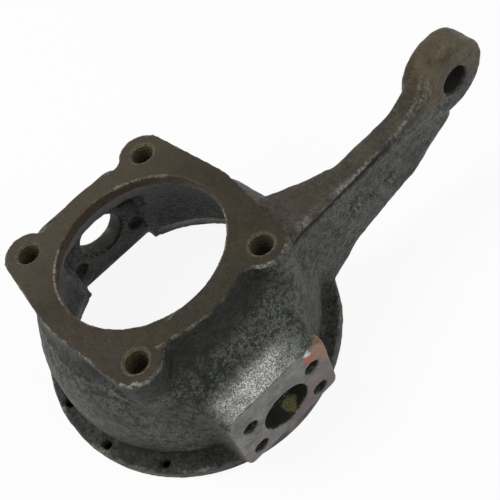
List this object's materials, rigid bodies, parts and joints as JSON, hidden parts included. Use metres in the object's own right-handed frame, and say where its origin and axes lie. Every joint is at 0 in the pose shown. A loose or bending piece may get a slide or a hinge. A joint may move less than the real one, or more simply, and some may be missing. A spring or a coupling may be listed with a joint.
{
  "type": "steering knuckle",
  "caption": "Cast ball-housing steering knuckle with a round seal flange, a lobed spindle flange, two kingpin pads and a steering arm ending in an eye.",
  "frame": {"origin": "middle of the seal flange's lower face, which is the face the part stands on", "axes": "+Z from the seal flange up to the spindle flange, +Y along the kingpin axis away from the pad nearest the viewer, +X down the steering arm"},
  "size_m": [0.2465, 0.1496, 0.092],
  "materials": {
    "casting": "rough cast, oily, machined faces brown"
  },
  "bodies": {
    "root": {"steering_knuckle": "casting"}
  },
  "joints": []
}
